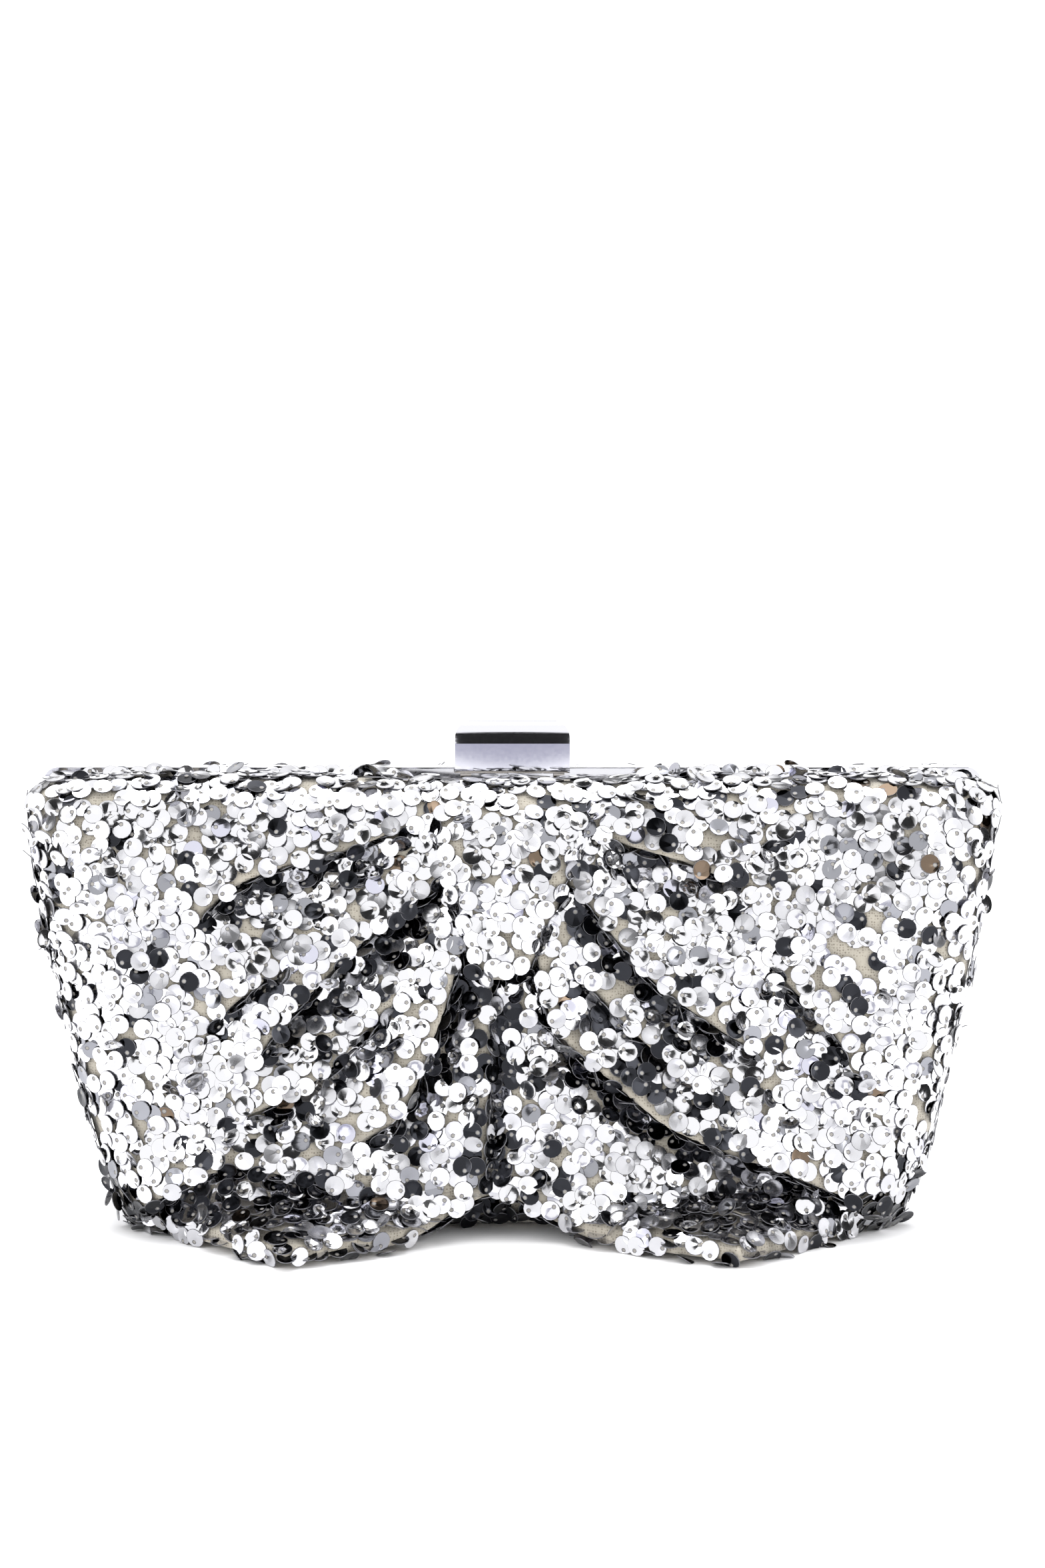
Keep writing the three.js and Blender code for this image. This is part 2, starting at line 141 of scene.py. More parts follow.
def flag(name, azimuth, elevation, reach, width, height):
    """A black card that only reflections see."""
    deselect()
    bpy.ops.mesh.primitive_plane_add(size=1)
    card = bpy.context.object
    card.name = name
    away = Vector((sin(azimuth) * cos(elevation), -cos(azimuth) * cos(elevation), sin(elevation)))
    card.scale = (width, height, 1)
    card.rotation_euler = away.to_track_quat("-Z", "Y").to_euler()
    card.location = Vector(BAG) + away * reach
    card.visible_camera = False
    card.visible_shadow = False
    card.visible_diffuse = False
    dress(card, black_cloth)


black_cloth, _ = new_material("black_flag_cloth", Base_Color=linear("#050506"), Roughness=1.0)
for name, azimuth, elevation, reach, width, height in (
    ("front_flag", 0, 38, 1.6, 0.9, 0.42),
    ("front_left_flag", -50, 30, 1.7, 0.3, 0.5),
    ("front_right_flag", 48, 35, 1.7, 0.35, 0.5),
    ("rear_flag", 180, 34, 1.6, 0.9, 0.42),
    ("rear_left_flag", -130, 30, 1.7, 0.35, 0.5),
    ("rear_right_flag", 128, 35, 1.7, 0.35, 0.5),
    ("left_wall_flag", -88, 8, 1.7, 0.6, 0.8),
    ("right_wall_flag", 88, 8, 1.7, 0.6, 0.8),
    ("left_low_flag", -90, 0.3, 1.15, 0.5, 0.13),
    ("right_low_flag", 90, 0.3, 1.15, 0.5, 0.13),
    ("clasp_flag", 0, 13, 1.5, 0.15, 0.6),
    ("left_high_flag", -78, 46, 1.6, 0.5, 0.45),
    ("right_high_flag", 78, 46, 1.6, 0.5, 0.45),
    ("low_card", 0, -2.6, 1.25, 1.1, 0.13),
):
    flag(name, radians(azimuth), radians(elevation), reach, width, height)
# The low card glows a lilac grey and is seen only in reflections: painted light, standing in for a lit grey
# card low in front.
glowing_card, _ = new_material("glowing_grey_card", Base_Color=linear("#000000"), Roughness=1.0,
                           Emission_Color=linear("#C5C5D8"), Emission_Strength=1.0)
dress(bpy.data.objects["low_card"], glowing_card)

CAMERA_DISTANCE = 0.82
CAMERA_HEIGHT = 0.2008
CAMERA_PITCH = 5.8
CAMERA_ASIDE = 0.0027
camera_data = bpy.data.cameras.new("camera")
camera_data.sensor_fit = "VERTICAL"
camera_data.sensor_height = 36
camera_data.lens = 71.9
camera = bpy.data.objects.new("camera", camera_data)
bpy.context.scene.collection.objects.link(camera)
camera.location = (CAMERA_ASIDE, -CAMERA_DISTANCE, CAMERA_HEIGHT)
camera.rotation_euler = (radians(90 - CAMERA_PITCH), 0, 0)
bpy.context.scene.camera = camera


# ---------------------------------------------------------------------------------------------
# The covers. Each half of the bag is a board tray wrapped in knitted net, glued over thin wadding,
# so its faces are softly crowned and its edges round. The net is pulled tight into the frame.

FRONT, BACK = -1, 1
PARTING = sum(corner.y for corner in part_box("hinge_pin_left")) / 2 / MM
COVER_DEPTH = 29.0
RIM = 4.3
EDGE = 12.0
WALL = COVER_DEPTH - EDGE
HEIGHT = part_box("front_cover")[1].z / MM
HALF_BASE = 103.0
HALF_TOP = 127.0
SLOPE = (HALF_TOP - HALF_BASE) / HEIGHT
LOW_CORNER, HIGH_CORNER = 14.0, 5.0
NET = "#A39D91"
WALL_SWELL = 1.6


def corner_arc(centre, radius, start, steps):
    turn = np.linspace(start, start + pi / 2, steps)
    return np.stack([centre[0] + radius * np.cos(turn), centre[1] + radius * np.sin(turn)], 1)


def outline(inset, pitch=2.5):
    """The tray's outline in x and z, anticlockwise from its lower right corner, moved in by inset."""
    low, high = inset, HEIGHT - inset
    side = inset * np.hypot(1, SLOPE)
    runs = []
    corners = [(1, low, LOW_CORNER), (1, high, HIGH_CORNER), (-1, high, HIGH_CORNER), (-1, low, LOW_CORNER)]
    for turn, (hand, z, corner) in enumerate(corners):
        radius = max(corner - inset, 1.5)
        x = hand * (HALF_BASE + SLOPE * z - side - radius)
        inward = radius if z == low else -radius
        runs.append(corner_arc((x + hand * SLOPE * inward, z + inward), radius, pi / 2 * (turn - 1), 8))
    closed = []
    for i, run in enumerate(runs):
        closed.extend(run)
        begin, end = run[-1], runs[(i + 1) % 4][0]
        count = int((216, 100, 216, 100)[(i + 1) % 4] / pitch)
        closed.extend(begin + (end - begin) * k / count for k in range(1, count))
    return np.array(closed)


def swollen(inset, swell):
    """The outline with its two sides, but not its top or base, pushed out by the wadding."""
    points = outline(inset)
    side = np.sign(points[:, 0]) * (np.abs(points[:, 0]) > HALF_BASE - LOW_CORNER)
    points[:, 0] += side * swell * np.sin(np.clip(points[:, 1] / HEIGHT, 0, 1) * pi) ** 0.5
    return points


def rows_to_mesh(name, rows, closed=True):
    """A sheet from rows of equally many points, in millimetres; closed joins each row end to end."""
    rows = np.asarray(rows, float)
    down, across = rows.shape[:2]
    i, j = np.meshgrid(np.arange(down - 1), np.arange(across if closed else across - 1), indexing="ij")
    after = (j + 1) % across
    faces = np.stack([i * across + j, i * across + after,
                      (i + 1) * across + after, (i + 1) * across + j], -1)
    mesh = bpy.data.meshes.new(name)
    mesh.from_pydata((rows.reshape(-1, 3) * MM).tolist(), [], faces.reshape(-1, 4).tolist())
    obj = bpy.data.objects.new(name, mesh)
    bpy.context.scene.collection.objects.link(obj)
    return obj


def edit(obj):
    """Leaves obj the only selected object, in edit mode, with all of it selected."""
    deselect()
    obj.select_set(True)
    bpy.context.view_layer.objects.active = obj
    bpy.ops.object.mode_set(mode="EDIT")
    bpy.ops.mesh.select_all(action="SELECT")


def leave():
    bpy.ops.object.mode_set(mode="OBJECT")


def modify(obj, kind, **settings):
    """Adds a modifier and applies it."""
    deselect()
    obj.select_set(True)
    bpy.context.view_layer.objects.active = obj
    modifier = obj.modifiers.new(kind.lower(), kind)
    for name, value in settings.items():
        setattr(modifier, name, value)
    bpy.ops.object.modifier_apply(modifier=modifier.name)


def face_outwards(obj):
    edit(obj)
    bpy.ops.mesh.remove_doubles(threshold=0.00001)
    bpy.ops.mesh.normals_make_consistent(inside=False)
    leave()


def smooth(obj, angle=180):
    deselect()
    obj.select_set(True)
    bpy.context.view_layer.objects.active = obj
    bpy.ops.object.shade_smooth_by_angle(angle=radians(angle))


def tray_rows(side, inset, depth, wall, crown, rim=RIM, edge=EDGE, swelling=WALL_SWELL):
    """Rows round a tray: in from its rim along the wall, round its edge and over its crowned face."""
    rows = []
    for y in np.linspace(rim, wall, 6):
        swell = swelling * sin(pi / 2 * (y - rim) / (wall - rim))
        rows.append([(x, PARTING + side * y, z) for x, z in swollen(inset, swell)])
    for turn in np.linspace(0, pi / 2, 9)[1:]:
        y = wall + (depth - wall) * sin(turn)
        rows.append([(x, PARTING + side * y, z)
                     for x, z in swollen(inset + edge * (1 - cos(turn)), swelling * cos(turn))])
    middle = np.array([[round(x * 0.31) * 2, HEIGHT / 2] for x, z in outline(HEIGHT / 2 - 4)])
    border = outline(inset + edge)
    for share in np.linspace(0, 1, 16)[1:]:
        y = depth + crown * (1 - (1 - share) ** 2)
        rows.append([(x, PARTING + side * y, z) for x, z in border + (middle - border) * share])
    return rows


def close_middle(obj):
    """Closes the slit that the innermost row leaves, by merging its points."""
    edit(obj)
    bpy.ops.mesh.remove_doubles(threshold=0.00002)
    leave()


def knit(name, colour):
    """Fine knitted net, matt and a little fuzzy: loops of yarn about 0.75 mm apart."""
    material, shader = new_material(name, Roughness=0.85, Sheen_Weight=0.35, Sheen_Roughness=0.5)
    place = add_node(material, "ShaderNodeTexCoord")
    loops = add_node(material, "ShaderNodeTexVoronoi", [(place.outputs["Object"], "Vector")], Scale=1350.0,
                     Randomness=0.45)
    shade = add_node(material, "ShaderNodeValToRGB", [(loops.outputs["Distance"], "Fac")],
                     [("Color", shader.inputs["Base Color"])])
    shade.color_ramp.elements[0].color, shade.color_ramp.elements[0].position = linear("#6A6358"), 0.1
    shade.color_ramp.elements[1].color, shade.color_ramp.elements[1].position = linear(colour), 0.42
    add_node(material, "ShaderNodeBump", [(loops.outputs["Distance"], "Height")],
             [("Normal", shader.inputs["Normal"])], Strength=0.7, Distance=0.0002)
    return material


net = knit("knitted_net", NET)
cover_rows = {}
for half, side in (("front", FRONT), ("back", BACK)):
    cover_rows[half] = np.array(tray_rows(side, 0.25, COVER_DEPTH - 0.3, WALL, 1.0))
    cover = rows_to_mesh(f"{half}_cover_net", cover_rows[half])
    close_middle(cover)
    face_outwards(cover)
    modify(cover, "SOLIDIFY", thickness=0.9 * MM, offset=-1)
    smooth(cover)
    dress(cover, net)
    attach(cover, f"{half}_half")
    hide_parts(f"{half}_cover")

# ---------------------------------------------------------------------------------------------
# The bow. One wide strip of sequinned net is gathered in the middle, so its pleats fan out to
# both sides, fall over each other and end in two loops that turn under and stand on the table.

FACE = PARTING - COVER_DEPTH
TIP_PLACE = 57.0
TIP_REACH = 36.5
GAP_PLACE = -4.0


def curve_through(points, count=60):
    """A smooth line through points, as Catmull-Rom arcs."""
    p = np.array(points, float)
    p = np.vstack([2 * p[0] - p[1], p, 2 * p[-1] - p[-2]])
    spots = np.linspace(0, len(p) - 3 - 1e-9, count)
    k = spots.astype(int)
    t = (spots - k)[:, None]
    a, b, c, d = p[k], p[k + 1], p[k + 2], p[k + 3]
    return 0.5 * (2 * b + (c - a) * t + (2 * a - 5 * b + 4 * c - d) * t**2 + (3 * b - a - 3 * c + d) * t**3)


def bell(x, width):
    return np.exp(-((x / width) ** 2))


def ramp(x, low, high):
    t = np.clip((x - low) / (high - low), 0, 1)
    return t * t * (3 - 2 * t)


# Each pleat's crease: points (x, z) from the gather outwards, along the dark fold as seen from the
# front, its depth, how far the layer above hangs over it, and how soon the layer below comes
# forward again.
CREASES = [
    ([(-20, 106), (-43, 99), (-57, 96), (-70, 90), (-79, 80)], 11.0, 4.0, 12),
    ([(-13, 93), (-31, 82), (-45, 69), (-57, 55), (-63, 44)], 11.5, 4.2, 12),
    ([(-8, 82), (-17, 56), (-27, 32), (-41, 22)], 10.0, 3.5, 9),
    ([(-58, 71), (-74, 58), (-86, 40)], 5.0, 2.0, 10),
    ([(-30, 60), (-46, 44), (-62, 34), (-78, 28)], 6.5, 2.5, 9),
    ([(18, 103), (35, 99), (49, 95), (63, 88)], 10.0, 4.0, 11),
    ([(50, 95), (60, 99), (69, 103), (80, 105)], 5.0, 1.5, 8),
    ([(16, 87), (34, 68), (49, 56), (66, 43)], 10.0, 3.8, 11),
    ([(1, 78), (8, 55), (24, 41), (39, 29), (56, 22), (66, 18), (78, 12), (88, 6), (97, -4)], 15.0, 5.0, 9),
    ([(-3, 78), (-4, 56), (-4.5, 30), (-5.5, 8)], 8.0, 2.0, 4),
    ([(66, 70), (80, 56), (90, 38)], 5.0, 2.0, 10),
    ([(14, 70), (30, 54), (44, 42), (60, 33)], 6.0, 2.2, 8),
    ([(-97, 0), (-87, 12), (-72, 18), (-56, 15), (-40, 9)], 13.0, 4.0, 4),
]
BOW_CORNER = 19.0


def outer_half(z):
    """Half the width of the body's outline at a height, with its rounded corners."""
    low = BOW_CORNER - np.clip(z, 0, BOW_CORNER)
    high = HIGH_CORNER - np.clip(HEIGHT - z, 0, HIGH_CORNER)
    cut = BOW_CORNER - np.sqrt(BOW_CORNER**2 - low**2) + HIGH_CORNER - np.sqrt(HIGH_CORNER**2 - high**2)
    return HALF_BASE + SLOPE * np.clip(z, 0, HEIGHT) - cut


BOW_SWELL = 3.6
LOOP_START, LOOP_UNDER = 12.0, 52.0


def bow_base(across, down):
    """The unpleated bow: across runs from -1 to 1 between the side walls, down is the distance in
    millimetres from the frame over the top edge, down the face and under the loops."""
    top_flat = WALL - RIM
    arc = EDGE * pi / 2
    face = HEIGHT - EDGE - LOOP_START
    turn = np.clip((down - top_flat) / EDGE, 0, pi / 2)
    z = HEIGHT - EDGE * (1 - np.cos(turn))
    behind = COVER_DEPTH - WALL - EDGE * np.sin(turn) + np.clip(top_flat - down, 0, None)
    fall = np.clip(down - top_flat - arc, 0, face)
    z = z - fall
    under = np.clip((down - top_flat - arc - face) / LOOP_UNDER, 0, 1)
    half = outer_half(np.where(under > 0, LOOP_START - 10 * under, z))
    half = half + BOW_SWELL * np.clip(np.sin(np.clip(z / HEIGHT, 0, 1) * pi), 0, 1) ** 0.6
    x = half * across
    side = np.clip((np.abs(across) * half - (half - EDGE)) / EDGE, 0, 1)
    x_turn = side * pi / 2
    x = np.where(side > 0, np.sign(across) * (half - EDGE + EDGE * np.sin(x_turn)), x)
    behind = behind + EDGE * (1 - np.cos(x_turn)) * np.clip(1 - behind / EDGE, 0, 1)
    away = np.abs(x)
    inner = bell(x - GAP_PLACE, 15)
    lobe = np.clip(1 - np.abs(away - TIP_PLACE) / np.where(away > TIP_PLACE, 37, 62), 0, 1)
    lobe = lobe * (1 - 0.8 * inner)
    sag = np.clip(1 - z / HEIGHT, 0, 1)
    puff = ramp(1 - np.abs(across), 0, 0.16)
    forward = puff * (2.4 + 5.4 * ramp(HEIGHT - z, 0, 30) + 9 * sag**1.5 * (0.25 + 0.75 * lobe))
    tip = 3 + TIP_REACH * lobe
    hem_z = LOOP_START + 3 * inner
    knots = np.array([0, 0.14, 0.34, 0.42, 0.62, 1.0])
    heights = [1, 0.72, 0.36, 0.04, 0.0, 0.0]
    floor = 1.4 + 11 * inner
    z = np.where(under > 0, floor + (hem_z - floor) * np.interp(under, knots, heights), z)
    ahead = np.interp(under, knots, [0, 0.42, 0.98, 0.96, 0.5, 0.0])
    back_in = ramp(under, 0.42, 1.0)
    looped = forward * (1 - back_in) + np.clip(tip - forward, 0, None) * ahead
    forward = np.where(under > 0, looped, forward)
    edge_drop = EDGE - np.sqrt(EDGE**2 - np.clip(EDGE - z, 0, EDGE) ** 2)
    forward = forward - edge_drop * (1 - ramp(lobe, 0, 0.3)) * (1 - inner)
    rise = 1.5 * ramp(away, 24, 42) * (1 - ramp(away, 100, 120))
    z = z + rise * (1 - ramp(down, 8, 34))
    return x, forward - behind, z


LEAST_FORWARD = 1.2
HANG_SEEN = 0.95  # share of the overhang between the crease and the dark fold that is seen
# Painted shade: how dark and how wide the band of dark-film sequins below each crease is, and how dark the
# cleft under the knot is.
DARK_FOLD = 7.0
DARK_WIDTH = 3.8
CLEFT_DARK = 0.7
KNOT_FOOT = 72.0


def pleated(x, forward, z, strength):
    """Folds the bow along its creases: the layer above bulges and hangs over, the layer below tucks in.
    Also returns painted shade: how likely the sequins at each place are to take the dark film.
    """
    shift_x, shift_z = np.zeros_like(x), np.zeros_like(x)
    fold = np.zeros_like(x)
    dark = np.zeros_like(x)
    for points, depth, hang, recover in CREASES:
        line = curve_through(points)
        step = np.diff(line, axis=0)
        step = np.vstack([step, step[-1:]])
        step /= np.linalg.norm(step, axis=1)[:, None]
        offset = np.stack([x, z], -1)[..., None, :] - line
        nearest = (offset**2).sum(-1).argmin(-1)
        along = nearest / (len(line) - 1)
        to_point = np.take_along_axis(offset, nearest[..., None, None], -2)[..., 0, :]
        downwards = np.stack([step[:, 1], -step[:, 0]], 1)
        downwards[downwards[:, 1] > 0] *= -1
        normal = downwards[nearest]
        s = (to_point * normal).sum(-1) + hang * HANG_SEEN
        beyond = np.sqrt(np.clip((to_point**2).sum(-1) - (s - hang * HANG_SEEN) ** 2, 0, None))
        size = np.minimum(1, 0.45 + 2.4 * along) * (1 - along**4) * bell(beyond, 6) * strength
        below = 1 / (1 + np.exp(-s / 0.8))
        above = (1 - below) * 0.42 * bell(s, 9)
        fold += depth * size * (above - below * np.exp(-np.clip(s, 0, None) / recover))
        # Painted shade below the crease, fading downwards.
        shadow = size * min(1, depth / DARK_FOLD) * below * np.exp(-np.clip(s - 1, 0, None) / DARK_WIDTH)
        dark = np.maximum(dark, shadow)
        pull = hang * size * (bell(s + 2.5, 3.5) - 0.6 * bell(s - 1.5, 2.5))
        shift_x += pull * normal[..., 0]
        shift_z += pull * normal[..., 1]
    folded = forward + fold
    floor = np.minimum(forward, LEAST_FORWARD)
    folded = floor + np.logaddexp(0, (folded - floor) * 1.2) / 1.2
    # Painted shade in the cleft under the knot.
    cleft = CLEFT_DARK * bell(x - GAP_PLACE, 9) * ramp(KNOT_FOOT + 6 - z, 0, 12) * strength
    return x + shift_x, folded, z + shift_z, np.clip(np.maximum(dark, cleft), 0, 1)


def ripple(x, z):
    """Small unevenness of soft net."""
    return (0.35 * np.sin(x / 5.3 + z / 9.1) + 0.3 * np.sin(x / 8.7 - z / 4.9 + 1.3)
            + 0.25 * np.sin(x / 3.1 + 2 * np.sin(z / 11)))


def wing_surface(first, last, columns):
    length = WALL - RIM + EDGE * pi / 2 + HEIGHT - EDGE - LOOP_START + LOOP_UNDER
    down = np.linspace(0, length, 150)[:, None] * np.ones((1, columns))
    across = np.linspace(first, last, columns)[None, :] * np.ones((150, 1))
    x, forward, z = bow_base(across, down)
    strength = ramp(down, 14, 40) * (1 - ramp(down, length - 34, length - 18))
    strength = strength * ramp(1 - np.abs(across), 0.0, 0.09)
    x, forward, z, shade = pleated(x, forward, z, strength)
    forward = forward + ripple(x, z) * strength
    return np.stack([x, FACE - forward, np.maximum(z, 0.9)], -1), shade


CENTRE = GAP_PLACE / HALF_TOP
bow_rows, bow_shade = {}, {}
for hand, first, last in (("left", -1, CENTRE), ("right", CENTRE, 1)):
    bow_rows[hand], bow_shade[hand] = wing_surface(first, last, 100)
    wing = rows_to_mesh(f"bow_wing_{hand}_net", bow_rows[hand], closed=False)
    face_outwards(wing)
    modify(wing, "SOLIDIFY", thickness=0.5 * MM, offset=-1)
    smooth(wing)
    dress(wing, net)
    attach(wing, "front_half")
    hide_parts(f"bow_wing_{hand}", f"bow_under_{hand}")

# ---------------------------------------------------------------------------------------------
# The gathered middle of the bow. A short band of the same net, pulled over the pleats from the
# frame and narrowing downwards, with its edges turned in.

KNOT_TOP, KNOT_LOW = 47.0, 15.0
KNOT_TUCK = 9.0


def knot_half(z):
    """Half the knot's width at a height, and how far up the knot that is, from 0 to 1."""
    share = np.clip((z - KNOT_FOOT) / (HEIGHT - KNOT_FOOT), 0, 1)
    return KNOT_LOW / 2 + (KNOT_TOP - KNOT_LOW) / 2 * share**0.9, share


def knot_surface(columns=44, count=60):
    length = WALL - RIM + EDGE * pi / 2 + HEIGHT - EDGE - KNOT_FOOT
    down = np.linspace(0, length + KNOT_TUCK, count)[:, None] * np.ones((1, columns))
    across = np.linspace(-1, 1, columns)[None, :] * np.ones((count, 1))
    tuck = np.clip((down - length) / KNOT_TUCK, 0, 1)
    down = np.minimum(down, length)
    x, forward, z = bow_base(np.zeros_like(across), down)
    half, share = knot_half(z)
    x = -2.5 * (1 - share) + half * across * (1 - 0.25 * tuck)
    crown = np.clip(1 - across**2, 0, 1) ** 0.5
    lift = 4.6 * crown * (1 - 0.55 * ramp(share, 0.75, 1)) * np.sqrt(1 - tuck**2) - 0.7
    lift = lift + 0.5 * np.sin(across * 7 + 1.5 * share) * crown
    turn = np.clip((down - (WALL - RIM)) / EDGE, 0, pi / 2)
    forward = forward + lift * np.sin(turn) - 2.5 * tuck
    z = z + (0.12 + (0.2 * lift + 0.33) * ramp(down, 5, 9)) * np.cos(turn)
    z = z - 3.5 * np.sin(tuck * pi / 2)
    return np.stack([x, FACE - forward, z], -1)


knot_rows = knot_surface()
knot = rows_to_mesh("bow_knot_net", knot_rows, closed=False)
face_outwards(knot)
modify(knot, "SOLIDIFY", thickness=0.5 * MM, offset=-1)
smooth(knot)
dress(knot, net)
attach(knot, "front_half")
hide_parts("bow_knot")

# ---------------------------------------------------------------------------------------------
# The sequins. Round discs of silvered polyester film, 5.2 mm across and slightly cupped, each sewn
# through a hole near its edge, so that they lie loosely over each other at all angles.

SEQUIN = 5.2
SEQUIN_HOLE = 1.3
HOLE_OFF = 1.35
RIM_WIDTH = 0.08
SIDES = 14
FILM_PART, HOLE_EDGE, THREAD_PART = 0, 1, 2


def ring(middle, radius, level, count):
    turn = np.linspace(0, 2 * pi, count, endpoint=False)
    return np.stack([middle + radius * np.cos(turn), radius * np.sin(turn), turn * 0 + level], 1)


def one_sequin():
    """A sequin's corners, faces and what each face is: a cupped disc, its hole filled by the stitch."""
    o, i = SIDES, SIDES // 2
    rings = [ring(0, SEQUIN / 2 - RIM_WIDTH, 0.24, o), ring(HOLE_OFF, SEQUIN_HOLE / 2, 0.14, i),
             ring(HOLE_OFF, SEQUIN_HOLE / 2 * 0.7, 0.06, i),
             ring(0, SEQUIN / 2, 0.16, o), ring(0, SEQUIN / 2, 0, o)]
    top, hole, floor, rim, low = np.cumsum([0, o, i, i, o])
    faces, kinds = [], []
    for k in range(o):
        a, b, near = k, (k + 1) % o, ((k + 1) // 2) % i
        faces += [(top + a, top + b, hole + near), (rim + a, rim + b, top + b, top + a),
                  (low + a, low + b, rim + b, rim + a)]
        kinds += [FILM_PART, HOLE_EDGE, HOLE_EDGE]
    for k in range(i):
        a, b, out = k, (k + 1) % i, (2 * k + 1) % o
        faces += [(top + out, hole + b, hole + a), (hole + a, hole + b, floor + b, floor + a)]
        kinds += [FILM_PART, HOLE_EDGE]
    faces += [tuple(range(floor, floor + i)), tuple(range(low + o - 1, low - 1, -1))]
    kinds += [THREAD_PART, FILM_PART]
    return np.concatenate(rings), faces, np.array(kinds)


OVERLAP = 4.4
LAYER = 0.34
HEM_COVERED = 12.0


def worn(points):
    """Small patches where the sequins part and the net shows."""
    x, y, z = points.T
    drift = np.sin(x / 4.3 + 1.7 * np.sin(z / 5.9)) * np.sin((z + y) / 3.9 + 1.4 * np.sin(x / 6.7))
    return drift > 0.8


def scatter(rows, pitch, keep, rng, closed, outwards=None, shade=None):
    """Random places at least pitch apart on a surface given as rows: points and unit normals."""
    if closed:
        rows = np.concatenate([rows, rows[:, :1]], 1)
    down = np.gradient(rows, axis=0)
    across = np.gradient(rows, axis=1)
    normals = np.cross(down, across)
    normals /= np.linalg.norm(normals, axis=-1, keepdims=True) + 1e-9
    if outwards is not None:
        normals *= np.sign(((rows - outwards) * normals).sum(-1, keepdims=True))
    diagonals = rows[1:, 1:] - rows[:-1, :-1], rows[1:, :-1] - rows[:-1, 1:]
    areas = 0.5 * np.linalg.norm(np.cross(*diagonals), axis=-1)
    tries = int(areas.sum() / pitch**2 * 9)
    picked = rng.choice(areas.size, tries, p=(areas / areas.sum()).ravel())
    r, c = np.unravel_index(picked, areas.shape)
    u, v = rng.random((2, tries, 1))
    corners = ((r, c, (1 - u) * (1 - v)), (r + 1, c, u * (1 - v)),
               (r, c + 1, (1 - u) * v), (r + 1, c + 1, u * v))
    points = sum(rows[a, b] * w for a, b, w in corners)
    facing = sum(normals[a, b] * w for a, b, w in corners)
    facing /= np.linalg.norm(facing, axis=1, keepdims=True) + 1e-9
    painted_shade = np.zeros(tries) if shade is None else shade[r, c]
    chosen = keep(points, facing)
    points, facing, painted_shade = points[chosen], facing[chosen], painted_shade[chosen]
    cells = {}
    kept = []
    layer_of = {}
    for n, cell in enumerate(map(tuple, np.floor(points / pitch).astype(int))):
        x, y, z = cell
        close = (m for i in (x - 1, x, x + 1) for j in (y - 1, y, y + 1) for k in (z - 1, z, z + 1)
                 for m in cells.get((i, j, k), ()))
        if all(((points[n] - points[m]) ** 2).sum() > pitch**2 for m in close):
            wide = [m for i in range(x - 2, x + 3) for j in range(y - 2, y + 3) for k in range(z - 2, z + 3)
                    for m in cells.get((i, j, k), ())]
            taken = {layer_of[m] for m in wide if ((points[n] - points[m]) ** 2).sum() < OVERLAP**2}
            layer_of[n] = next(level for level in range(20) if level not in taken)
            cells.setdefault(cell, []).append(n)
            kept.append(n)
    kept = np.array(kept)
    kept = kept[~worn(points[kept]) | (painted_shade[kept] > 0.2) | (points[kept, 2] < HEM_COVERED)]
    return points[kept], facing[kept], np.array([layer_of[n] for n in kept]), painted_shade[kept]


def film(name, colour, roughness):
    """Silvered polyester film: a mirror, with the slight blur of its embossing."""
    material, _ = new_material(name, Base_Color=linear(colour), Metallic=1.0, Roughness=roughness)
    return material


# The last film, dark, comes up at random among the others, and is also given as painted shade to sequins in
# creases, under overhangs, between the loops and on the hem.
FILMS = [
    film("silver_film", "#D2D2D5", 0.09),
    film("silver_film_soft", "#C6C6CA", 0.22),
    film("silver_film_lilac", "#BEBECB", 0.1),
    film("silver_film_smoke", "#8C8D93", 0.12),
    film("silver_film_warm", "#6B5D50", 0.14),
    film("silver_film_dark_and_painted_shade", "#2C2D31", 0.16),
]
SHARES = (0.6, 0.255, 0.03, 0.06, 0.008, 0.047)
PAINTED_SHADE_FILM, PAINTED_SHADE_SHARE = 5, 0.95
STEEP_SHARE = 0.11
STEEP_IN_DARK, NONE_STEEP = 0.35, -1.0
# The cut edges round each sequin and its hole are darker than the film: partly their own grey, partly
# painted shade for the thin shadow lines round each disc and in its hole.
cut_edge_and_painted_shade, _ = new_material("cut_film_edge_and_painted_shade", Base_Color=linear("#66666A"), Metallic=0.7, Roughness=0.35)
thread, _ = new_material("polyester_thread", Base_Color=linear("#8A8782"), Roughness=0.6)


